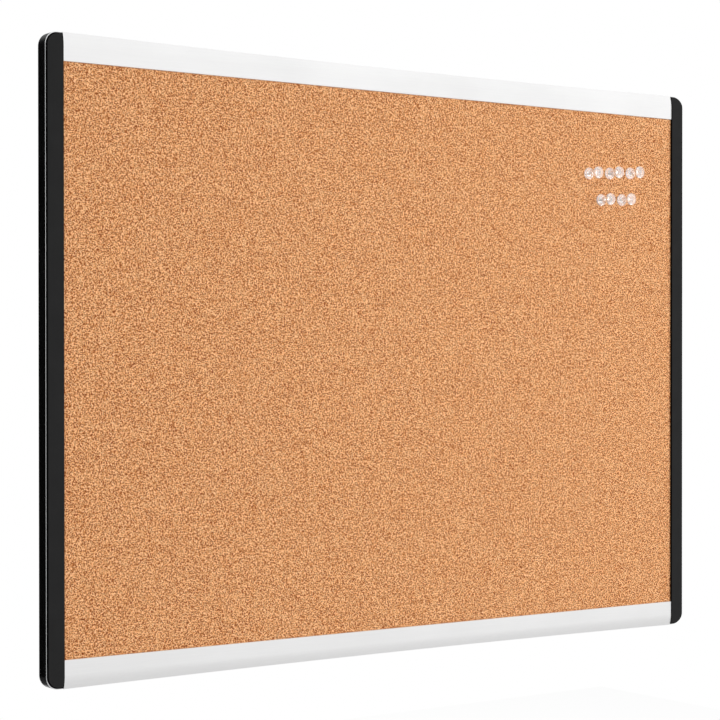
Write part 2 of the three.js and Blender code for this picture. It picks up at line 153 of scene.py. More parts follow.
def faceOutwards():
    pickAll()
    bpy.ops.mesh.normals_make_consistent(inside=False)


# gives the primitive that was just added its name
def named(name):
    piece = bpy.context.object
    piece.name = piece.data.name = name
    return piece


def addBox(name, low, high):
    a, b = at(*low), at(*high)
    deselect()
    bpy.ops.mesh.primitive_cube_add(size=1, location=(a + b) / 2, scale=b - a)
    bpy.ops.object.transform_apply(location=True, rotation=True, scale=True)
    return named(name)


# a round rod from front to back, as a peg or as a punch for a hole
def addRod(x, up, width, front, back, sides=32):
    deselect()
    bpy.ops.mesh.primitive_cylinder_add(
        vertices=sides, radius=width / 2 * mm, depth=(back - front) * mm,
        location=at(x, (front + back) / 2, up), rotation=(quarter, 0, 0))
    return bpy.context.object


# draws an outline from point to point, as with one vertex and the extrude key
def drawOutline(name, points, filled):
    deselect()
    bpy.ops.mesh.primitive_plane_add(size=mm, location=(0, 0, 0))
    piece = named(name)
    startEdit(piece)
    bpy.ops.mesh.select_mode(type="VERT")
    pickAll()
    bpy.ops.mesh.merge(type="CENTER")
    bpy.ops.transform.translate(value=points[0])
    for start, end in zip(points, points[1:]):
        bpy.ops.mesh.extrude_region_move(TRANSFORM_OT_translate={"value": end - start})
    if filled:
        pickAll()
        bpy.ops.mesh.edge_face_add()
    endEdit()
    return piece


# turns an outline of radius and depth points about a line along y
def spinOutline(name, points, centre, steps):
    axis = at(*centre)
    piece = drawOutline(name, [axis + Vector((radius, depth, 0)) * mm for radius, depth in points], False)
    startEdit(piece)
    pickAll()
    bpy.ops.mesh.spin(steps=steps, angle=math.tau, center=axis, axis=(0, 1, 0))
    mergeDoubles()
    faceOutwards()
    endEdit()
    return piece


# adds a modifier with its settings and applies it
def applyModifier(piece, kind, **settings):
    takeUp(piece)
    modifier = piece.modifiers.new(kind.lower(), kind)
    for name, value in settings.items():
        setattr(modifier, name, value)
    bpy.ops.object.modifier_apply(modifier=modifier.name)


# joins another solid to the piece, or cuts it away
def combine(piece, operation, other):
    applyModifier(piece, "BOOLEAN", operation=operation, solver="EXACT", object=other)
    bpy.data.objects.remove(other)


def softenEdges(piece, width, segments=2, angle=30):
    applyModifier(piece, "BEVEL", width=width * mm, segments=segments, limit_method="ANGLE",
                  angle_limit=math.radians(angle), use_clamp_overlap=True)


def smoothShade(piece, angle=35):
    takeUp(piece)
    bpy.ops.object.shade_smooth_by_angle(angle=math.radians(angle))
    applyModifier(piece, "WEIGHTED_NORMAL", keep_sharp=True)


# a copy with its own mesh, all of it picked in edit mode
def startCopy(piece, name):
    takeUp(piece)
    bpy.ops.object.duplicate(linked=False)
    twin = named(name)
    startEdit(twin)
    pickAll()
    return twin


def shifted(piece, name, offset):
    twin = startCopy(piece, name)
    bpy.ops.transform.translate(value=offset)
    endEdit()
    return twin


# a copy turned over about the board's middle, across x or across z
def turnedOver(piece, name, factors):
    twin = startCopy(piece, name)
    bpy.ops.transform.resize(value=factors, center_override=at(0, 0, 0))
    bpy.ops.mesh.flip_normals()
    endEdit()
    smoothShade(twin)
    return twin


# cuts rows across the curved ends of the front, then sets each row back along the curve
def bendFront(piece, deepest):
    startEdit(piece)
    for fromEdge in curveStations():
        for end in (1, -1):
            pickAll()
            bpy.ops.mesh.bisect(
                plane_co=at(0, 0, end * (board["halfHeight"] - fromEdge)), plane_no=(0, 0, 1))
    rows = set()
    for vert in bmesh.from_edit_mesh(piece.data).verts:
        x, depth, up = placeOf(vert.co)
        if depth < deepest and board["halfHeight"] - abs(up) < board["curveReach"] - 0.01:
            rows.add(round(up, 3))
    for row in sorted(rows):
        pick("VERT", lambda vert: placeOf(vert.co)[1] < deepest and near(placeOf(vert.co)[2], row, 0.0006))
        bpy.ops.transform.translate(value=(0, fallBack(board["halfHeight"] - abs(row)) * mm, 0))
    endEdit()


def dress(piece, node, body, material):
    piece.data.materials.clear()
    piece.data.materials.append(material)
    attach(piece, body)
    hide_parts(node)


# the finished piece stands for the first node, and a shifted copy for each of the others
def dressSet(first, title, nodes, material):
    start = middleOf(nodes[0])
    pieces = [first]
    for number, node in enumerate(nodes[1:], 2):
        pieces.append(shifted(first, f"{title}{number}", middleOf(node) - start))
    for piece, node in zip(pieces, nodes):
        dress(piece, node, "board", material)


# links a socket to a socket, or sets a plain value; a colour of three parts is opaque
def feed(tree, socket, value):
    if isinstance(value, bpy.types.NodeSocket):
        tree.links.new(value, socket)
    elif socket.type == "RGBA":
        socket.default_value = (*value, 1)
    else:
        socket.default_value = value


# a shader node of one kind, with its settings and what goes into its sockets
def addNode(tree, kind, place, settings=None, values=None):
    node = tree.nodes.new(kind if kind.startswith("NodeGroup") else "ShaderNode" + kind)
    node.location = (place[0] * 200, place[1] * 200)
    for name, value in (settings or {}).items():
        setattr(node, name, value)
    for name, value in (values or {}).items():
        feed(tree, node.inputs[name], value)
    return node


def calculate(tree, place, operation, *values):
    return addNode(tree, "Math", place, {"operation": operation}, dict(enumerate(values))).outputs["Value"]


def mapValue(tree, place, value, fromLow, fromHigh, toLow, toHigh):
    return addNode(tree, "MapRange", place, {}, {
        "Value": value, "From Min": fromLow, "From Max": fromHigh, "To Min": toLow,
        "To Max": toHigh}).outputs["Result"]


def addNoise(tree, place, vector, scale, detail, roughness, distortion=0):
    return addNode(tree, "TexNoise", place, {}, {
        "Vector": vector, "Scale": scale, "Detail": detail, "Roughness": roughness,
        "Distortion": distortion}).outputs


def addCells(tree, place, vector, scale, **settings):
    return addNode(tree, "TexVoronoi", place, settings, {"Vector": vector, "Scale": scale}).outputs


def splitVector(tree, place, vector):
    return list(addNode(tree, "SeparateXYZ", place, {}, {"Vector": vector}).outputs)


def splitColour(tree, place, colour):
    return addNode(tree, "SeparateColor", place, {}, {"Color": colour}).outputs


def rampOf(tree, place, factor, stops):
    ramp = addNode(tree, "ValToRGB", place, {}, {"Fac": factor})
    elements = ramp.color_ramp.elements
    while len(elements) < len(stops):
        elements.new(0.5)
    for element, (position, colour) in zip(elements, stops):
        element.position = position
        element.color = (*colour, 1)
    return ramp.outputs["Color"]


# its sockets 6 and 7 are the two colours, and its output 2 is the mixed one
def mixColours(tree, place, factor, first, second, blend="MIX"):
    return addNode(tree, "Mix", place, {"data_type": "RGBA", "blend_type": blend}, {
        0: factor, 6: first, 7: second}).outputs[2]


def mixShaders(tree, place, factor, first, second):
    return addNode(tree, "MixShader", place, {}, {0: factor, 1: first, 2: second}).outputs["Shader"]


def bumpFrom(tree, height, look):
    return addNode(tree, "Bump", (4, -3), {}, {
        "Height": height, "Distance": look["bump"] * mm, "Strength": look["strength"]}).outputs["Normal"]


def emptyTree(owner):
    owner.use_nodes = True
    owner.node_tree.nodes.clear()
    return owner.node_tree


def startMaterial(name):
    material = bpy.data.materials.new(name)
    tree = emptyTree(material)
    return material, tree, addNode(tree, "TexCoord", (-5, 0)).outputs["Object"]


def addShader(tree, values):
    return addNode(tree, "BsdfPrincipled", (6, 0), {}, values).outputs["BSDF"]


def finishMaterial(tree, surface):
    addNode(tree, "OutputMaterial", (8, 0), {}, {"Surface": surface})


# effects that more than one material uses
def startGroup(name, inputs):
    group = bpy.data.node_groups.new(name, "ShaderNodeTree")
    group.interface.new_socket(name="Vector", in_out="INPUT", socket_type="NodeSocketVector")
    for socketName, value in inputs.items():
        socket = group.interface.new_socket(name=socketName, in_out="INPUT", socket_type="NodeSocketFloat")
        socket.default_value = value
    return group, addNode(group, "NodeGroupInput", (-5, 0)).outputs


def finishGroup(group, results):
    for socketName in results:
        group.interface.new_socket(name=socketName, in_out="OUTPUT", socket_type="NodeSocketFloat")
    addNode(group, "NodeGroupOutput", (5, 0), {}, results)
    return group


def placeGroup(tree, group, place, coords, values):
    return addNode(tree, "Group", place, {"node_tree": group}, {"Vector": coords, **values}).outputs


# fine moulded texture: a pebbled grain, and slow waves of sheen
def makeMouldedGrain():
    group, entry = startGroup("mouldedGrain", {"Grain Scale": 3000, "Wave Scale": 60})
    grain = addNode(group, "TexVoronoi", (-2, 1), {"feature": "SMOOTH_F1"}, {
        "Vector": entry["Vector"], "Scale": entry["Grain Scale"], "Smoothness": 0.6})
    fine = addNoise(group, (-2, -1), entry["Vector"], entry["Grain Scale"], 3, 0.6)
    wave = addNoise(group, (-2, -3), entry["Vector"], entry["Wave Scale"], 2, 0.45)
    height = calculate(group, (1, 1), "MULTIPLY_ADD", fine["Fac"], 0.45, grain.outputs["Distance"])
    return finishGroup(group, {"Height": height, "Sheen": wave["Fac"]})


# drawn or rolled metal: long fine lines, with a slow change of gloss
def makeDrawnLines():
    group, entry = startGroup("drawnLines", {"Line Scale": 4000, "Stretch": 0.01})
    stretch = addNode(group, "CombineXYZ", (-4, -2), {}, {"X": entry["Stretch"], "Y": 1, "Z": 1})
    along = addNode(group, "VectorMath", (-3, 0), {"operation": "MULTIPLY"}, {
        0: entry["Vector"], 1: stretch.outputs["Vector"]})
    lines = addNoise(group, (-1, 1), along.outputs["Vector"], entry["Line Scale"], 4, 0.7)
    slow = addNoise(group, (-1, -1), entry["Vector"], 22, 3, 0.5)
    return finishGroup(group, {"Height": lines["Fac"], "Sheen": slow["Fac"]})


# soft smudges and a little dust from handling
def makeHandling():
    group, entry = startGroup("handling", {"Smudge Scale": 45, "Dust Scale": 900})
    smudge = addNoise(group, (-2, 1), entry["Vector"], entry["Smudge Scale"], 5, 0.62, 0.6)
    dust = addCells(group, (-2, -1), entry["Vector"], entry["Dust Scale"])
    return finishGroup(group, {
        "Smudges": mapValue(group, (1, 1), smudge["Fac"], 0.45, 0.72, 0, 1),
        "Dust": mapValue(group, (1, -1), dust["Distance"], 0.06, 0.11, 1, 0)})


# pressed wood fibres, lying every way
def makePressedFibres():
    group, entry = startGroup("pressedFibres", {"Fibre Scale": 500})
    top = 0
    for index, (turn, stretch) in enumerate(((0.3, 6), (1.4, 5), (2.5, 7))):
        laid = addNode(group, "Mapping", (-4, 2 * index), {"vector_type": "TEXTURE"}, {
            "Vector": entry["Vector"], "Rotation": (0, turn, 0), "Scale": (1, 1, stretch),
            "Location": (index * 3.1, 0, 0)})
        fibres = addNoise(group, (-2, 2 * index), laid.outputs["Vector"], entry["Fibre Scale"], 3, 0.55)
        top = calculate(group, (index, 2 * index), "MAXIMUM", fibres["Fac"], top)
    return finishGroup(group, {"Fibres": top, "Height": top})


mouldedGrain = makeMouldedGrain()
drawnLines = makeDrawnLines()
handling = makeHandling()
pressedFibres = makePressedFibres()

# natural cork: pressed granules of many browns, with specks of bark and dark flecks
corkLook = {
    "granule": 0.46,
    "crumb": 0.3,
    "crumbShare": 0.32,
    "browns": [  # tone from dark to light, and its colour
        (0.18, (0.21, 0.03, 0.002)), (0.36, (0.47, 0.135, 0.024)), (0.5, (0.768, 0.325, 0.114)),
        (0.66, (0.965, 0.507, 0.23)), (0.82, (1.0, 0.65, 0.36))],
    "bark": 1.5,  # each cell of this width holds one speck of bark
    "barkRim": (0.17, 0.38),  # where a speck starts to fade, and where it ends
    "barkDark": (-0.85, -0.25),  # what the darkest and the palest speck add to the tone
    "barkGround": 0.1,
    "barkBend": 1.5,  # how far noise bends the specks
    "bendScale": 1200,
    "patchScale": 38,
    "patchShare": 0.12,
    "patchTints": [(0.32, (1.0, 0.93, 0.86)), (0.5, (1, 1, 1)), (0.68, (1.0, 1.03, 1.12))],
    "fleck": (0.16, 0.055, 0.02),
    "fleckScale": 1050,
    "fleckRim": (0.65, 0.7),
    "fleckShare": 0.7,
    "seamWidth": 0.09,
    "seamDepth": 0.1,
    "seamRelief": 0.2,
    "crumbRelief": 0.35,
    "bump": 0.14,
    "strength": 0.55,
    "roughness": (0.78, 0.96),
    "specular": 0.18,
}


def makeCorkMaterial():
    look = corkLook
    material, tree, coords = startMaterial("cork")
    granules = addCells(tree, (-3, 3), coords, 1000 / look["granule"])
    crumbs = addCells(tree, (-3, 1), coords, 1000 / look["crumb"])
    seams = addCells(tree, (-3, -1), coords, 1000 / look["granule"], feature="DISTANCE_TO_EDGE")["Distance"]
    granuleTone = splitColour(tree, (-2, 3), granules["Color"])
    crumbTone = splitColour(tree, (-2, 1), crumbs["Color"])
    tone = addNode(tree, "Mix", (-1, 2), {"data_type": "FLOAT"}, {
        0: look["crumbShare"], 2: granuleTone["Red"], 3: crumbTone["Green"]}).outputs[0]
    bend = addNoise(tree, (-6, -7), coords, look["bendScale"], 1, 0.5)["Color"]
    bent = addNode(tree, "VectorMath", (-5, -7), {"operation": "MULTIPLY_ADD"}, {
        0: bend, 1: [look["barkBend"] * mm] * 3, 2: coords}).outputs["Vector"]
    fromFront = addNode(tree, "Mapping", (-4, -7), {}, {"Vector": bent, "Rotation": (quarter, 0, 0)})
    bark = addCells(
        tree, (-3, -7), fromFront.outputs["Vector"], 1000 / look["bark"], voronoi_dimensions="2D")
    speck = mapValue(tree, (-1, -7), bark["Distance"], *look["barkRim"], 1, 0)
    speckTone = splitColour(tree, (-2, -8), bark["Color"])["Red"]
    darkness = mapValue(tree, (-1, -8), speckTone, 0, 1, *look["barkDark"])
    shade = calculate(tree, (0, -7), "MULTIPLY_ADD", speck, darkness, look["barkGround"])
    brown = rampOf(tree, (0, 2), calculate(tree, (0, 4), "ADD", tone, shade), look["browns"])
    seamShade = mapValue(tree, (-1, -1), seams, 0, look["seamWidth"], 1 - look["seamDepth"], 1)
    seamed = mixColours(tree, (1, 1), 1, brown, seamShade, "MULTIPLY")
    patches = addNoise(tree, (-3, -3), coords, look["patchScale"], 3, 0.55)
    tint = rampOf(tree, (-1, -3), patches["Fac"], look["patchTints"])
    tinted = mixColours(tree, (2, 1), look["patchShare"], seamed, tint, "MULTIPLY")
    flecks = addNoise(tree, (-3, -5), coords, look["fleckScale"], 2, 0.5)
    fleckMask = mapValue(tree, (-1, -5), flecks["Fac"], *look["fleckRim"], 0, look["fleckShare"])
    sunk = mapValue(tree, (1, -3), seams, 0, look["seamRelief"], 0, 1)
    relief = calculate(tree, (3, -2), "MULTIPLY_ADD", crumbTone["Green"], look["crumbRelief"], sunk)
    finishMaterial(tree, addShader(tree, {
        "Base Color": mixColours(tree, (3, 1), fleckMask, tinted, look["fleck"]),
        "Roughness": mapValue(tree, (3, -4), granuleTone["Blue"], 0, 1, *look["roughness"]),
        "Normal": bumpFrom(tree, relief, look),
        "Specular IOR Level": look["specular"]}))
    return material


# satin anodised rails, drawn along their length
railLook = {
    "colour": (0.935, 0.932, 0.93), "shade": (0.9, 0.898, 0.897), "shadeSpan": (0.35, 0.65),
    "roughness": (0.33, 0.42), "glossSpan": (0.3, 0.7), "lines": 5200, "stretch": 0.006,
    "smudges": 26, "soiling": 0.06, "bump": 0.006, "strength": 0.35}


def makeRailMaterial():
    look = railLook
    material, tree, coords = startMaterial("satinAluminium")
    lines = placeGroup(tree, drawnLines, (-3, 1), coords, {
        "Line Scale": look["lines"], "Stretch": look["stretch"]})
    touched = placeGroup(tree, handling, (-3, -2), coords, {"Smudge Scale": look["smudges"]})
    bright = mapValue(tree, (-1, 1), lines["Height"], *look["shadeSpan"], 0, 1)
    gloss = mapValue(tree, (-1, -1), lines["Sheen"], *look["glossSpan"], *look["roughness"])
    finishMaterial(tree, addShader(tree, {
        "Base Color": mixColours(tree, (0, 1), bright, look["shade"], look["colour"]),
        "Roughness": calculate(tree, (2, -1), "MULTIPLY_ADD", touched["Smudges"], look["soiling"], gloss),
        "Normal": bumpFrom(tree, lines["Height"], look),
        "Metallic": 1}))
    return material


# moulded plastics: one recipe with its own values for each finish, and what all of them share
moulding = {
    "waves": 70,
    "wearSpan": (0.35, 0.75),
    "mostWear": 0.5,
    "smudges": 38,
    "dustScale": 640,
    "dustColour": (0.35, 0.34, 0.32),
    "edgeSpan": (-0.925, -0.87),  # how far a rounded edge has turned from the front where its painted shade starts, and where it is full
}
mouldedLooks = {
    "darkGreyPlastic": {
        "colour": (0.0186, 0.0186, 0.0188), "worn": (0.0225, 0.0225, 0.0228), "roughness": (0.46, 0.58),
        "grain": 3600, "bump": 0.03, "strength": 0.3, "specular": 0.03, "dust": 0.03,
        "edge": (0.0006, 0.0006, 0.0006)},  # painted shade: its rounded outer edge is coloured darker, for the dark that it reflects
    "blackPlastic": {
        "colour": (0.0008, 0.0008, 0.0008), "worn": (0.002, 0.002, 0.002), "roughness": (0.18, 0.28),
        "grain": 1500, "bump": 0.008, "strength": 0.15, "specular": 0.3, "dust": 0.006},
    "hangerPlastic": {
        "colour": (0.04, 0.04, 0.042), "worn": (0.075, 0.075, 0.078), "roughness": (0.45, 0.6),
        "grain": 2400, "bump": 0.04, "strength": 0.4, "specular": 0.4, "dust": 0.1},
    "bumperRubber": {
        "colour": (0.26, 0.265, 0.275), "worn": (0.34, 0.34, 0.345), "roughness": (0.7, 0.86),
        "grain": 1900, "bump": 0.06, "strength": 0.6, "specular": 0.3, "dust": 0.35},
}


def makeMouldedMaterial(name):
    look = {**moulding, **mouldedLooks[name]}
    material, tree, coords = startMaterial(name)
    grain = placeGroup(tree, mouldedGrain, (-3, 1), coords, {
        "Grain Scale": look["grain"], "Wave Scale": look["waves"]})
    touched = placeGroup(tree, handling, (-3, -2), coords, {
        "Smudge Scale": look["smudges"], "Dust Scale": look["dustScale"]})
    worn = mapValue(tree, (-1, 1), grain["Sheen"], *look["wearSpan"], 0, look["mostWear"])
    colour = mixColours(tree, (0, 1), worn, look["colour"], look["worn"])
    dusty = calculate(tree, (-1, -3), "MULTIPLY", touched["Dust"], look["dust"])
    colour = mixColours(tree, (2, 1), dusty, colour, look["dustColour"])
    # painted shade: faces that turn away from the front are coloured darker, for the dark that a rounded edge
    # reflects
    if "edge" in look:
        towardsBack = splitVector(tree, (1, 4), addNode(tree, "NewGeometry", (0, 4)).outputs["Normal"])[1]
        paintedEdgeShade = mapValue(tree, (2, 4), towardsBack, *look["edgeSpan"], 0, 1)
        colour = mixColours(tree, (4, 1), paintedEdgeShade, colour, look["edge"])
    finishMaterial(tree, addShader(tree, {
        "Base Color": colour,
        "Roughness": mapValue(tree, (0, -1), touched["Smudges"], 0, 1, *look["roughness"]),
        "Normal": bumpFrom(tree, grain["Height"], look),
        "Specular IOR Level": look["specular"]}))
    return material


# small metal parts and the bright trim, and what all of them share
metalwork = {"shadeSpan": (0.35, 0.68), "smudges": 90}
metalLooks = {
    "brightTrim": {
        "colour": (0.95, 0.95, 0.955), "shade": (0.88, 0.88, 0.89), "roughness": (0.12, 0.22),
        "lines": 2600, "stretch": 1, "bump": 0.004, "strength": 0.3},
    "zincSteel": {
        "colour": (0.66, 0.68, 0.7), "shade": (0.48, 0.49, 0.47), "roughness": (0.28, 0.46),
        "lines": 1500, "stretch": 1, "bump": 0.02, "strength": 0.4},
    "needleSteel": {
        "colour": (0.78, 0.79, 0.8), "shade": (0.62, 0.63, 0.65), "roughness": (0.1, 0.22),
        "lines": 5200, "stretch": 0.05, "bump": 0.004, "strength": 0.4},
}


def makeMetalMaterial(name):
    look = {**metalwork, **metalLooks[name]}
    material, tree, coords = startMaterial(name)
    lines = placeGroup(tree, drawnLines, (-3, 1), coords, {
        "Line Scale": look["lines"], "Stretch": look["stretch"]})
    touched = placeGroup(tree, handling, (-3, -2), coords, {"Smudge Scale": look["smudges"]})
    bright = mapValue(tree, (-1, 1), lines["Height"], *look["shadeSpan"], 0, 1)
    finishMaterial(tree, addShader(tree, {
        "Base Color": mixColours(tree, (0, 1), bright, look["shade"], look["colour"]),
        "Roughness": mapValue(tree, (0, -1), touched["Smudges"], 0, 1, *look["roughness"]),
        "Normal": bumpFrom(tree, lines["Height"], look),
        "Metallic": 1}))
    return material


# clear acrylic of the push pins, lightly scuffed
pinLook = {
    "colour": (1, 0.985, 0.975),
    "ior": 1.49,
    "roughness": (0.04, 0.12),
    "smudges": 420,
    "grain": 700,
    "waves": 180,
    "clearness": 0.78,
    "lightThrough": 0.7,  # how much lamp light passes through a pin to what is behind it
    "bump": 0.02,
    "strength": 0.3,
}


def makePinMaterial():
    look = pinLook
    material, tree, coords = startMaterial("clearAcrylic")
    touched = placeGroup(tree, handling, (-3, 0), coords, {"Smudge Scale": look["smudges"]})
    grain = placeGroup(tree, mouldedGrain, (-3, -3), coords, {
        "Grain Scale": look["grain"], "Wave Scale": look["waves"]})
    clear = addShader(tree, {
        "Base Color": look["colour"],
        "Roughness": mapValue(tree, (0, 0), touched["Smudges"], 0, 1, *look["roughness"]),
        "Normal": bumpFrom(tree, grain["Sheen"], look),
        "IOR": look["ior"],
        "Transmission Weight": look["clearness"]})
    inShadow = addNode(tree, "LightPath", (3, 4)).outputs["Is Shadow Ray"]
    share = calculate(tree, (5, 4), "MULTIPLY", inShadow, look["lightThrough"])
    passing = addNode(tree, "BsdfTransparent", (6, 2)).outputs["BSDF"]
    finishMaterial(tree, mixShaders(tree, (7, 0), share, clear, passing))
    return material


# the boards behind the cork, and what both share
boardwork = {
    "fibreSpan": (0.5, 0.72), "glossSpan": (0.45, 0.75), "smudges": 14, "blotches": (0.86, 1.06),
    "specular": 0.3}
boardLooks = {
    "hardboard": {
        "colour": (0.2, 0.098, 0.045), "fibre": (0.3, 0.16, 0.08), "scale": 680,
        "roughness": (0.68, 0.5), "bump": 0.04, "strength": 0.5},
    "fibreboard": {
        "colour": (0.4, 0.27, 0.14), "fibre": (0.62, 0.46, 0.28), "scale": 300,
        "roughness": (0.97, 0.85), "bump": 0.2, "strength": 0.8},
}


def makeBoardMaterial(name):
    look = {**boardwork, **boardLooks[name]}
    material, tree, coords = startMaterial(name)
    fibres = placeGroup(tree, pressedFibres, (-3, 1), coords, {"Fibre Scale": look["scale"]})
    touched = placeGroup(tree, handling, (-3, -2), coords, {"Smudge Scale": look["smudges"]})
    pale = mapValue(tree, (-1, 1), fibres["Fibres"], *look["fibreSpan"], 0, 1)
    colour = mixColours(tree, (0, 1), pale, look["colour"], look["fibre"])
    blotch = mapValue(tree, (-1, -1), touched["Smudges"], 0, 1, *look["blotches"])
    finishMaterial(tree, addShader(tree, {
        "Base Color": mixColours(tree, (2, 1), 1, colour, blotch, "MULTIPLY"),
        "Roughness": mapValue(tree, (0, -1), fibres["Fibres"], *look["glossSpan"], *look["roughness"]),
        "Normal": bumpFrom(tree, fibres["Height"], look),
        "Specular IOR Level": look["specular"]}))
    return material


corkMaterial = makeCorkMaterial()
railMaterial = makeRailMaterial()
coverMaterial = makeMouldedMaterial("darkGreyPlastic")
capMaterial = makeMouldedMaterial("blackPlastic")
hangerMaterial = makeMouldedMaterial("hangerPlastic")
rubberMaterial = makeMouldedMaterial("bumperRubber")
trimMaterial = makeMetalMaterial("brightTrim")
screwMaterial = makeMetalMaterial("zincSteel")
needleMaterial = makeMetalMaterial("needleSteel")
pinMaterial = makePinMaterial()
print("materials made")

# the boards behind the cork keep their own shape
for node, look in (("core_board", "fibreboard"), ("backing_sheet", "hardboard")):
    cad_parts[node].data.materials.clear()
    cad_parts[node].data.materials.append(makeBoardMaterial(look))
print("boards dressed")

# cork sheet: a fine sheet with a slightly uneven face and a hole for each needle
cork = {
    "front": 1.8,
    "cuts": 14,
    "relief": 0.1,
    "reliefGrain": 2.6,
    "plainEdge": 1,
    "holes": 5,
    "hole": 1.4,
    "holeSides": 24,
    "punch": (-2.2, 5.8),  # how deep it starts and ends
}


def makeCork():
    low, high = (placeOf(corner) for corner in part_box("cork_sheet"))
    sheet = addBox("corkSheet", low, high)
    startEdit(sheet)
    pick("FACE", facing(0, -1, 0))
    for step in range(2):
        bpy.ops.mesh.subdivide(number_cuts=cork["cuts"])
    width, height = high[0] - cork["plainEdge"], high[2] - cork["plainEdge"]

    def isInside(vert):
        x, depth, up = placeOf(vert.co)
        return near(depth, cork["front"]) and abs(x) < width and abs(up) < height

    pick("VERT", isInside)
    bpy.ops.object.vertex_group_add()
    bpy.ops.object.vertex_group_assign()
    endEdit()
    grain = bpy.data.textures.new("corkUnevenness", "CLOUDS")
    grain.noise_scale = cork["reliefGrain"] * mm
    grain.noise_depth = 1
    applyModifier(sheet, "DISPLACE", texture=grain, direction="Y", mid_level=0,
                  strength=cork["relief"] * mm, vertex_group=sheet.vertex_groups[0].name)
    punches = []
    for number in range(1, cork["holes"] + 1):
        x, depth, up = placeOf(middleOf(f"push_pin_{number}_needle"))
        punches.append(addRod(x, up, cork["hole"], *cork["punch"], cork["holeSides"]))
    for punch in punches:
        punch.select_set(True)
    bpy.ops.object.join()
    combine(sheet, "DIFFERENCE", bpy.context.object)
    takeUp(sheet)
    bpy.ops.object.shade_smooth_by_angle(angle=math.radians(50))
    dress(sheet, "cork_sheet", "board", corkMaterial)


makeCork()
print("cork made")

# rails: the section is drawn once and extruded, then its outer edge bows in along the length
rails = {
    "length": 582.2,
    "height": 20.4,
    "recess": 0.6,
    "lipBack": 1.8,
    "lipDepth": 11.3,
    "edgeRadius": 0.5,
    "overhang": 2.6,
    "channelTop": 3.7,
    "channelBottom": 11.5,
    "slotTop": 5.4,
    "slotBottom": 9.8,
    "webBottom": 12.6,
    "flangeDepth": 11.7,
    "flangeEnd": 18,
    "waist": 1.8,  # how far the outer edge bows in at the middle
    "stations": 31,
    "softEdge": 0.16,
}


# depth and distance from the top edge, once around the section
def railOutline():
    size = rails
    radius, lip = size["edgeRadius"], size["lipBack"]
    stations = [0] + curveStations()
    points = [(size["recess"] + fallBack(t), t) for t in stations]
    points += arc(size["recess"] + radius, size["height"] - radius, radius, math.pi, quarter, 5)
    points += [
        (lip, size["height"]),
        (lip, size["webBottom"]),
        (size["flangeDepth"], size["webBottom"]),
        (size["flangeDepth"], size["flangeEnd"]),
        (board["depth"], size["flangeEnd"]),
        (board["depth"], size["slotBottom"]),
        (size["lipDepth"], size["slotBottom"]),
        (size["lipDepth"], size["channelBottom"]),
        (lip, size["channelBottom"]),
    ]
    points += [(lip + fallBack(t), t) for t in reversed(stations)
               if size["channelTop"] < t < size["channelBottom"]]
    points += [
        (lip + fallBack(size["channelTop"]), size["channelTop"]),
        (size["lipDepth"], size["channelTop"]),
        (size["lipDepth"], size["slotTop"]),
        (board["depth"], size["slotTop"]),
        (board["depth"], size["overhang"]),
        (lip + fallBack(size["overhang"]), size["overhang"]),
    ]
    return points + [(lip + fallBack(t), t) for t in reversed(stations) if t < size["overhang"]]


def makeRails():
    size = rails
    half = size["length"] / 2
    outline = [at(-half, depth, board["halfHeight"] - t) for depth, t in railOutline()]
    rail = drawOutline("topRail", outline, True)
    startEdit(rail)
    pickAll()
    extrudeBy(size["length"], 0, 0)
    faceOutwards()
    pick("EDGE", lambda edge: abs(edge.verts[0].co.x - edge.verts[1].co.x) > half * mm)
    bpy.ops.mesh.subdivide(number_cuts=size["stations"])
    wall = board["halfHeight"] - size["overhang"]
    fallAtWall = fallBack(size["overhang"])

    def isBowed(vert, station, surface):
        x, depth, up = placeOf(vert.co)
        onSurface = near(depth, surface + fallBack(board["halfHeight"] - up))
        return onSurface and near(x, station, 0.1) and up > wall + 0.01

    for step in range(1, size["stations"] + 1):
        x = -half + size["length"] * step / (size["stations"] + 1)
        bow = size["waist"] * (1 - (x / half) ** 2)
        across = (size["overhang"] - bow) / size["overhang"]
        deep = (fallBack(bow) - fallAtWall) / (fallBack(0) - fallAtWall)
        for surface in (size["recess"], size["lipBack"]):
            pick("VERT", lambda vert: isBowed(vert, x, surface))
            bpy.ops.transform.resize(
                value=(1, deep, across), center_override=at(x, surface + fallAtWall, wall))
    endEdit()
    softenEdges(rail, size["softEdge"])
    smoothShade(rail)
    lower = turnedOver(rail, "bottomRail", (1, 1, -1))
    dress(rail, "top_rail", "board", railMaterial)
    dress(lower, "bottom_rail", "board", railMaterial)


makeRails()
print("rails made")


# a cap piece's block, in edit mode and with its two outer corners rounded
def startCapPiece(name, front, back, inset, segments):
    top = board["halfHeight"] - inset
    outer = board["halfWidth"] - inset
    piece = addBox(name, (board["capInner"] - board["spare"], front, -top), (outer, back, top))
    startEdit(piece)
    pick("EDGE", lambda edge: all(near(vert.co.x / mm, outer) for vert in edge.verts)
         and near(edge.verts[0].co.z / mm, edge.verts[1].co.z / mm))
    bevelPicked(board["cornerRadius"] - inset, segments)
    return piece


def trimToCap():
    pickAll()
    bpy.ops.mesh.bisect(
        plane_co=at(board["capInner"], 0, 0), plane_no=(1, 0, 0), use_fill=True, clear_inner=True)


# front covers: a shallow moulded channel with a rolled outer edge and two pegs at the back
covers = {
    "inset": 0.5,
    "thickness": 1.1,
    "rim": 1.5,
    "rimWidth": 1.5,
    "outerRound": 1.2,
    "innerRound": 0.3,
    "cornerSegments": 16,
    "pegWidth": 4,
    "pegLength": 5,
    "pegRoot": 0.3,  # how far a peg starts inside the cover
    "pegFromEdge": 8,
}
pegX = (board["halfWidth"] + board["capInner"]) / 2
pegUp = board["halfHeight"] - covers["pegFromEdge"]


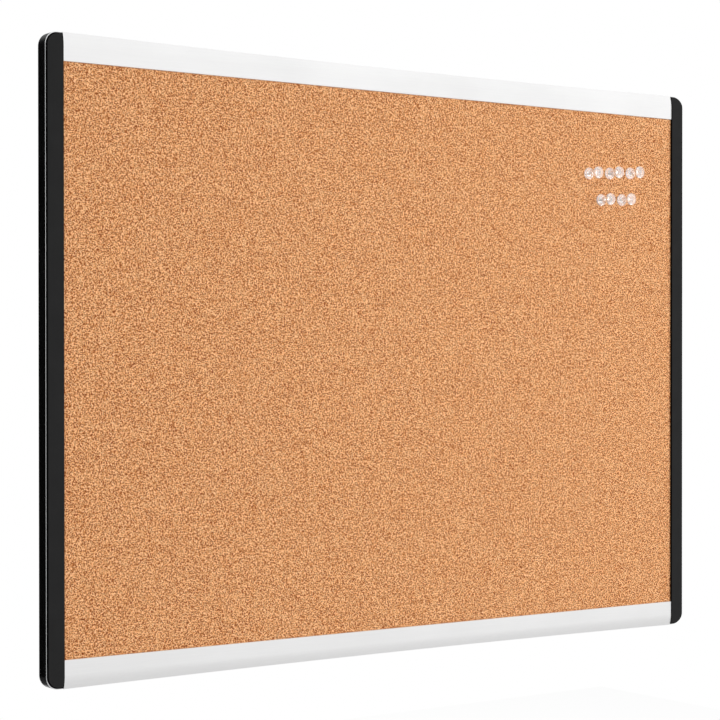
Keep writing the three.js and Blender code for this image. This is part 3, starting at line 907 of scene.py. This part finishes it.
def makeCovers():
    size = covers
    cover = startCapPiece("rightCover", 0, size["thickness"], size["inset"], size["cornerSegments"])
    pick("FACE", facing(0, 1, 0))
    bpy.ops.mesh.inset(thickness=size["rimWidth"] * mm)
    widest = max(face.calc_area() for face in bmesh.from_edit_mesh(cover.data).faces
                 if facing(0, 1, 0)(face))
    pick("FACE", lambda face: facing(0, 1, 0)(face) and face.calc_area() < widest)
    extrudeBy(0, size["rim"] - size["thickness"], 0)
    trimToCap()

    def isFrontEdge(edge, inner):
        sides = edge.link_faces
        return sum(map(facing(0, -1, 0), sides)) == 1 and any(map(facing(-1, 0, 0), sides)) == inner

    pick("EDGE", lambda edge: isFrontEdge(edge, False))
    bevelPicked(size["outerRound"], 6)
    pick("EDGE", lambda edge: isFrontEdge(edge, True))
    bevelPicked(size["innerRound"], 3)
    endEdit()
    bendFront(cover, size["rim"] + 0.01)
    for end in (1, -1):
        combine(cover, "UNION", addRod(
            pegX, end * pegUp, size["pegWidth"], size["thickness"] - size["pegRoot"],
            size["thickness"] + size["pegLength"]))
    smoothShade(cover)
    left = turnedOver(cover, "leftCover", (-1, 1, 1))
    dress(cover, "right_cap_cover", "board", coverMaterial)
    dress(left, "left_cap_cover", "board", coverMaterial)


makeCovers()
print("covers made")

# bright trim: a strip around the three outer sides of each cap
trims = {"front": 1.55, "thickness": 0.6, "width": 2, "cornerSegments": 20, "softEdge": 0.12}


def makeTrims():
    size = trims
    back = size["front"] + size["thickness"]
    trim = startCapPiece("rightTrim", size["front"], back, 0, size["cornerSegments"])
    for y in (1, -1):
        pick("FACE", facing(0, y, 0))
        bpy.ops.mesh.inset(thickness=size["width"] * mm)
        bpy.ops.mesh.delete(type="ONLY_FACE")
    pick("EDGE", lambda edge: edge.is_boundary)
    bpy.ops.mesh.bridge_edge_loops()
    trimToCap()
    faceOutwards()
    endEdit()
    bendFront(trim, back + 0.01)
    softenEdges(trim, size["softEdge"])
    smoothShade(trim)
    left = turnedOver(trim, "leftTrim", (-1, 1, 1))
    dress(trim, "right_cap_trim", "board", trimMaterial)
    dress(left, "left_cap_trim", "board", trimMaterial)


makeTrims()
print("trims made")

# end caps: a body with a raised core under the cover, the panel's slot, two tongues and their screw holes
caps = {
    "wallFront": 2.2,
    "coreFront": 1.15,
    "coreInset": 2.05,
    "sideWall": 3,
    "slotFront": 1.8,
    "slotBack": 11.7,
    "slotHalfHeight": 216,
    "tongueLength": 15,
    "tongueFront": 2.915,
    "tongueBack": 11.1,
    "tongueLow": 217.3,
    "tongueHigh": 224.7,
    "screwAt": 283.2,
    "screwUp": 221,
    "screwHole": 3.2,
    "screwPunch": (0, 15),  # how deep it starts and ends
    "pegHole": 4.2,
    "pegPunch": (-2, 6.2),
    "cornerSegments": 20,
    "softEdge": 0.2,
}


def makeCaps():
    size = caps
    cap = startCapPiece("rightCap", size["wallFront"], board["depth"], 0, size["cornerSegments"])
    pick("FACE", facing(0, -1, 0))
    bpy.ops.mesh.inset(thickness=size["coreInset"] * mm)
    extrudeBy(0, size["coreFront"] - size["wallFront"], 0)
    trimToCap()
    endEdit()
    bendFront(cap, size["wallFront"] + 0.01)
    startEdit(cap)

    # faces of the inner side, all of them or those within a field of it
    def isInner(face, front=-math.inf, back=math.inf, low=-math.inf, high=math.inf):
        x, depth, up = placeOf(face.calc_center_median())
        onSide = facing(-1, 0, 0)(face) and near(x, board["capInner"])
        return onSide and front < depth < back and low < abs(up) < high

    cuts = [((0, 0, 1), at(0, 0, end * size[key])) for end in (1, -1)
            for key in ("slotHalfHeight", "tongueLow", "tongueHigh")]
    cuts += [((0, 1, 0), at(0, size[key], 0))
             for key in ("slotFront", "slotBack", "tongueFront", "tongueBack")]
    for normal, spot in cuts:
        pick("FACE", isInner)
        bpy.ops.mesh.bisect(plane_co=spot, plane_no=normal)
    pick("FACE", lambda face: isInner(face, size["slotFront"], size["slotBack"], high=size["slotHalfHeight"]))
    extrudeBy(board["halfWidth"] - size["sideWall"] - board["capInner"], 0, 0)
    pick("FACE", lambda face: isInner(
        face, size["tongueFront"], size["tongueBack"], size["tongueLow"], size["tongueHigh"]))
    extrudeBy(-size["tongueLength"], 0, 0)
    mergeDoubles()
    faceOutwards()
    # sorted, and read in afresh, so that the dissolve leaves the same joins in every run
    bpy.ops.mesh.sort_elements(type="CURSOR_DISTANCE", elements={"VERT", "EDGE", "FACE"})
    endEdit()
    startEdit(cap)
    pickAll()
    bpy.ops.mesh.dissolve_limited(angle_limit=math.radians(0.5))
    endEdit()
    for end in (1, -1):
        screwPunch = addRod(size["screwAt"], end * size["screwUp"], size["screwHole"], *size["screwPunch"])
        combine(cap, "DIFFERENCE", screwPunch)
        combine(cap, "DIFFERENCE", addRod(pegX, end * pegUp, size["pegHole"], *size["pegPunch"]))
    softenEdges(cap, size["softEdge"])
    smoothShade(cap)
    left = turnedOver(cap, "leftCap", (-1, 1, 1))
    dress(cap, "right_end_cap", "board", capMaterial)
    dress(left, "left_end_cap", "board", capMaterial)


makeCaps()
print("end caps made")

# hangers: a slider, its neck and a plate with a keyhole
hangers = {
    "length": 24,
    "sliderFront": 8.2,
    "sliderBack": 11.1,
    "sliderLow": 217.3,
    "sliderHigh": 224.7,
    "neckLow": 219,
    "neckHigh": 223,
    "plateFront": 13.9,
    "plateBack": 15.2,
    "plateLow": 189.8,
    "cornerRadius": 4,
    "seatUp": 206.6,
    "keyholeWidth": 7.6,
    "slotWidth": 4.4,
    "drop": 7.5,
    "punch": (10, 20),
    "softEdge": 0.3,
}


def keyholePunch(x):
    size = hangers
    slot, hole = size["slotWidth"] / 2, size["keyholeWidth"] / 2
    meet = math.acos(slot / hole)
    points = arc(0, 0, slot, 0, math.pi, 16)
    points += arc(0, -size["drop"], hole, math.pi - meet, math.tau + meet, 32)
    front, back = size["punch"]
    punch = drawOutline("keyholePunch", [at(x + u, front, size["seatUp"] + v) for u, v in points], True)
    startEdit(punch)
    pickAll()
    extrudeBy(0, back - front, 0)
    faceOutwards()
    endEdit()
    return punch


def makeHangers():
    size = hangers
    x = middleOf("left_hanger").x / mm
    low, high = x - size["length"] / 2, x + size["length"] / 2
    hanger = addBox(
        "leftHanger", (low, size["sliderFront"], size["sliderLow"]),
        (high, size["sliderBack"], size["sliderHigh"]))
    startEdit(hanger)
    for up in (size["neckLow"], size["neckHigh"]):
        pick("FACE", facing(0, 1, 0))
        bpy.ops.mesh.bisect(plane_co=at(x, 0, up), plane_no=(0, 0, 1))
    pick("FACE", lambda face: facing(0, 1, 0)(face)
         and size["neckLow"] < placeOf(face.calc_center_median())[2] < size["neckHigh"])
    extrudeBy(0, size["plateFront"] - size["sliderBack"], 0)
    extrudeBy(0, size["plateBack"] - size["plateFront"], 0)
    pick("FACE", lambda face: facing(0, 0, -1)(face)
         and placeOf(face.calc_center_median())[1] > size["plateFront"])
    extrudeBy(0, 0, size["plateLow"] - size["neckLow"])
    pick("EDGE", lambda edge: all(near(placeOf(vert.co)[2], size["plateLow"]) for vert in edge.verts)
         and near(edge.verts[0].co.x / mm, edge.verts[1].co.x / mm))
    bevelPicked(size["cornerRadius"], 10)
    endEdit()
    combine(hanger, "DIFFERENCE", keyholePunch(x))
    softenEdges(hanger, size["softEdge"])
    smoothShade(hanger)
    right = shifted(hanger, "rightHanger", (-2 * x * mm, 0, 0))
    dress(hanger, "left_hanger", "hanger_left", hangerMaterial)
    dress(right, "right_hanger", "hanger_right", hangerMaterial)


makeHangers()
print("hangers made")

# cap screws: pan heads with a cross recess, and threaded shanks
screws = {
    "length": 7.5,
    "tip": [(0, 0), (0.9, 0), (1.29, 1)],  # radius and distance from the point
    "radius": 1.5,
    "root": 1.18,
    "pitch": 0.9,
    "threadStart": 1.3,
    "threads": 6,
    "crest": 0.45,  # where in each pitch the thread is widest
    "plain": 0.35,  # under the head
    "head": [(3.25, 0), (3.25, 0.55), (3.13, 0.9), (2.75, 1.22), (2.15, 1.44), (1.25, 1.57), (0, 1.6)],
    "crossLength": 3.6,
    "crossWidth": 0.9,
    "crossDepth": 0.9,
    "crossTaper": 0.6,
    "softEdge": 0.05,
}


def screwOutline():
    size = screws
    points = list(size["tip"])
    for thread in range(size["threads"]):
        start = size["threadStart"] + thread * size["pitch"]
        points += [(size["root"], start), (size["radius"], start + size["pitch"] * size["crest"])]
    points += [(size["root"], size["length"] - size["plain"]), (size["radius"], size["length"])]
    return points + [(radius, size["length"] + height) for radius, height in size["head"]]


def makeScrews():
    size = screws
    nodes = [f"cap_screw_{corner}" for corner in cornerNames]
    x, depth, up = placeOf(middleOf(nodes[0]))
    screw = spinOutline("capScrew1", screwOutline(), (x, board["depth"] - size["length"], up), 40)
    back = board["depth"] + size["head"][-1][1]
    arms = (size["crossLength"] / 2, size["crossWidth"] / 2)
    for long, wide in (arms, arms[::-1]):
        punch = addBox(
            "crossPunch", (x - long, back - size["crossDepth"], up - wide), (x + long, back + 1, up + wide))
        startEdit(punch)
        pick("FACE", facing(0, -1, 0))
        bpy.ops.transform.resize(
            value=(size["crossTaper"], 1, size["crossTaper"]), center_override=at(x, back, up))
        endEdit()
        combine(screw, "DIFFERENCE", punch)
    softenEdges(screw, size["softEdge"], 1, 40)
    smoothShade(screw)
    dressSet(screw, "capScrew", nodes, screwMaterial)


makeScrews()
print("screws made")

# rubber bumpers on the back of the caps, each with a shallow dish
bumpers = {
    "radius": 4.5,
    "height": 3,
    "round": 0.7,
    "foot": 0.25,
    "dish": 0.12,
    "dishTop": 2.9,
    "dishFloor": 2.5,
}


def makeBumpers():
    size = bumpers
    radius, height, curve = size["radius"], size["height"], size["round"]
    points = [(0, 0), (radius - size["foot"], 0), (radius, size["foot"])]
    points += arc(radius - curve, height - curve, curve, 0, quarter, 6)
    floor = height - size["dish"]
    points += [(size["dishTop"], height), (size["dishFloor"], floor), (0, floor)]
    nodes = [f"bumper_{corner}" for corner in cornerNames]
    x, depth, up = placeOf(middleOf(nodes[0]))
    bumper = spinOutline("bumper1", points, (x, board["depth"], up), 48)
    smoothShade(bumper, 40)
    dressSet(bumper, "bumper", nodes, rubberMaterial)


makeBumpers()
print("bumpers made")

# push pins: turned clear bodies on steel needles
pins = {
    "count": 5,
    "length": 13.2,
    "headRadius": 4.95,
    "headThickness": 1.9,
    "headRound": 0.62,
    "flangeRadius": 4.95,
    "flangeThickness": 1.25,
    "flangeRound": 0.42,
    "waistRadius": 2.4,
    "boreRadius": 0.6,
    "boreDepth": 7.05,
    "seat": 1.8,
    # how far along the neck, and how far out from the waist to the rim
    "neck": [(0, 0.7), (0.015, 0.6), (0.03, 0.5), (0.06, 0.36), (0.1, 0.268), (0.15, 0.19), (0.2, 0.14),
             (0.28, 0.08), (0.38, 0.027), (0.5, 0), (0.62, 0.012), (0.74, 0.046), (0.82, 0.08), (0.88, 0.132),
             (0.92, 0.197), (0.95, 0.272), (0.97, 0.38), (0.985, 0.487), (1, 0.6)],
    "needleRadius": 0.55,
    "needleIn": 7,
    "needleReach": 8.8,
    "needlePoint": 2.2,
    "needleShoulder": 0.3,  # straight length left before the point
    "needleChamfer": 0.08,
    "pointRound": 1.25,  # one for a straight cone, and more for a rounder point
    "turns": 64,
    "needleTurns": 32,
}


# a disc's rounded rim, from its front face to its back face
def rimPoints(radius, curve, front, back):
    return (arc(radius - curve, front + curve, curve, -quarter, 0, 5)
            + arc(radius - curve, back - curve, curve, 0, quarter, 5))


def pinOutline():
    size = pins
    collar = size["length"] - size["flangeThickness"]
    points = [(0, 0)] + rimPoints(size["headRadius"], size["headRound"], 0, size["headThickness"])
    for along, out in size["neck"]:
        rim = size["headRadius"] if along < 0.5 else size["flangeRadius"]
        points.append((size["waistRadius"] + (rim - size["waistRadius"]) * out,
                       size["headThickness"] + (collar - size["headThickness"]) * along))
    points += rimPoints(size["flangeRadius"], size["flangeRound"], collar, size["length"])
    boreEnd = size["length"] - size["boreDepth"]
    return points + [(size["boreRadius"], size["length"]), (size["boreRadius"], boreEnd), (0, boreEnd)]


def needleOutline():
    size = pins
    radius, chamfer, tip = size["needleRadius"], size["needleChamfer"], size["needlePoint"]
    length = size["needleIn"] + size["needleReach"]
    straight = length - tip - size["needleShoulder"]
    points = [(0, 0), (radius - chamfer, 0), (radius, chamfer), (radius, straight)]
    for step in range(1, 8):
        points.append((radius * (1 - (step / 8) ** size["pointRound"]), length - tip + tip * step / 8))
    return points + [(0, length)]


def makePins():
    size = pins
    start = middleOf("push_pin_1_body")
    x, depth, up = placeOf(start)
    pin = spinOutline("pushPin1", pinOutline(), (x, size["seat"] - size["length"], up), size["turns"])
    smoothShade(pin, 30)
    inBody = (x, size["seat"] - size["needleIn"], up)
    needle = spinOutline("pinNeedle1", needleOutline(), inBody, size["needleTurns"])
    smoothShade(needle, 40)
    pieces = [(pin, needle)]
    for number in range(2, size["count"] + 1):
        offset = middleOf(f"push_pin_{number}_body") - start
        nextPin = shifted(pin, f"pushPin{number}", offset)
        pieces.append((nextPin, shifted(needle, f"pinNeedle{number}", offset)))
    for number, (pin, needle) in enumerate(pieces, 1):
        body = f"push_pin_{number}"
        dress(pin, f"{body}_body", body, pinMaterial)
        dress(needle, f"{body}_needle", body, needleMaterial)


makePins()
print("push pins made")

# studio: white floor far below the board, soft lamps, white surroundings
studio = {
    "floorDrop": 600,  # below the board's lower edge
    "floorSize": 5,  # metres
    "floorGrey": (0.93, 0.93, 0.93),  # what the lamps light
    "floorWhite": 1.06,  # the strength of the floor's own white
    "floorShare": 0.85,  # how much of it the camera sees, and the rest shows shadows
    "surround": 0.46,  # light that the surroundings give to the board
    # what glossy surfaces see, and between which directions it changes
    "sheenFront": 1.11,  # in front of the board
    "sheenBack": 0.5,  # behind it
    "backSpan": (-0.4, 0.3),
    "sheenFlag": 0.01,  # behind it on its left, where a black flag stands
    "flagSpan": (-0.3, -0.1),
    "sheenBelow": 0.88,  # the share of these that is left below the board
    "belowSpan": (-0.35, 0.15),
    "sheenLeft": 0.86,  # the share that is left everywhere but far to the right
    "leftSpan": (0.38, 0.58),
    "sheenFloor": 0.7,  # on the floor, where the flag shows too
    "floorBackSpan": (0.1, 0.4),  # metres
    "floorFlagSpan": (-0.25, 0),  # metres
    "lamps": [
        # name, place and target in metres, size in metres, watts
        ("keyLamp", (1.5, -2.1, 0.5), (0, 0, -0.2), 1.3, 41),
        ("fillLamp", (-2.0, -1.9, 0.2), (0, 0, -0.2), 1.6, 6),
        ("topLamp", (0.1, -0.2, 1.9), (0, 0, -0.2), 1.4, 10),
        ("backLamp", (0.6, 2.2, 0.9), (0, 0, -0.2), 1.6, 24),
    ],
}


# one for rays of any of the named kinds, and nothing for others
def rayMask(tree, *names):
    path = addNode(tree, "LightPath", (-6, 3))
    mask = 0
    for index, name in enumerate(names):
        mask = calculate(tree, (index - 5, 3), "MAXIMUM", path.outputs[name], mask)
    return mask


def addGlow(tree, place, kind, strength):
    return addNode(tree, kind, place, {}, {"Color": (1, 1, 1), "Strength": strength}).outputs[0]


def makeSurroundings():
    world = bpy.data.worlds.new("surroundings")
    bpy.context.scene.world = world
    tree = emptyTree(world)
    x, y, z = splitVector(tree, (-5, -2), addNode(tree, "TexCoord", (-6, -2)).outputs["Generated"])
    back = mapValue(tree, (-4, -5), x, *studio["flagSpan"], studio["sheenFlag"], studio["sheenBack"])
    sheen = mapValue(tree, (-3, -2), y, *studio["backSpan"], studio["sheenFront"], back)
    below = mapValue(tree, (-4, -3), z, *studio["belowSpan"], studio["sheenBelow"], 1)
    left = mapValue(tree, (-4, -4), x, *studio["leftSpan"], studio["sheenLeft"], 1)
    for index, share in enumerate((below, left)):
        sheen = calculate(tree, (index - 2, -3), "MULTIPLY", sheen, share)
    light = addGlow(tree, (0, -2), "Background", studio["surround"])
    mirrored = addGlow(tree, (0, 0), "Background", sheen)
    white = addGlow(tree, (0, 2), "Background", 1)
    seen = mixShaders(tree, (2, 0), rayMask(tree, "Is Glossy Ray"), light, mirrored)
    seen = mixShaders(tree, (4, 0), rayMask(tree, "Is Camera Ray", "Is Transmission Ray"), seen, white)
    addNode(tree, "OutputWorld", (6, 0), {}, {"Surface": seen})


def makeFloor():
    height = (board["middleZ"] - board["halfHeight"] - studio["floorDrop"]) * mm
    deselect()
    bpy.ops.mesh.primitive_plane_add(size=studio["floorSize"], location=(0, 0, height))
    floor = named("floor")
    material, tree, coords = startMaterial("floorWhite")
    x, y, z = splitVector(tree, (-4, -3), coords)
    back = mapValue(tree, (-3, -4), x, *studio["floorFlagSpan"], studio["sheenFlag"], studio["sheenFloor"])
    level = mapValue(tree, (-2, -3), y, *studio["floorBackSpan"], studio["sheenFloor"], back)
    glow = mapValue(tree, (-1, -1), rayMask(tree, "Is Glossy Ray"), 0, 1, studio["floorWhite"], level)
    lit = addNode(tree, "BsdfDiffuse", (0, 1), {}, {"Color": studio["floorGrey"]}).outputs["BSDF"]
    white = addGlow(tree, (0, -1), "Emission", glow)
    seen = rayMask(tree, "Is Camera Ray", "Is Glossy Ray", "Is Transmission Ray")
    share = calculate(tree, (1, 3), "MULTIPLY", seen, studio["floorShare"])
    finishMaterial(tree, mixShaders(tree, (3, 0), share, lit, white))
    floor.data.materials.append(material)


def makeLamps():
    for name, place, target, size, watts in studio["lamps"]:
        lamp = bpy.data.lights.new(name, "AREA")
        lamp.shape = "SQUARE"
        lamp.size = size
        lamp.energy = watts
        holder = bpy.data.objects.new(name, lamp)
        bpy.context.scene.collection.objects.link(holder)
        holder.location = place
        holder.rotation_euler = (Vector(target) - Vector(place)).to_track_quat("-Z", "Y").to_euler()
        holder.visible_glossy = False


makeSurroundings()
makeFloor()
makeLamps()
print("studio made")

# the camera stands where the photograph was taken from
view = {
    "place": (-0.92154, -1.25796, -0.20691),  # metres
    "turn": (89.5153, 0.031, -35.374),  # degrees
    "lens": 99.2,
    "shiftUp": 0.02505,
}


def makeCamera():
    lens = bpy.data.cameras.new("camera")
    lens.lens = view["lens"]
    lens.sensor_width = 36
    lens.shift_y = view["shiftUp"]
    lens.clip_start = 0.01
    camera = bpy.data.objects.new("camera", lens)
    bpy.context.scene.collection.objects.link(camera)
    camera.location = view["place"]
    camera.rotation_euler = [math.radians(turn) for turn in view["turn"]]
    bpy.context.scene.camera = camera


makeCamera()
bpy.context.scene.view_settings.view_transform = "Standard"
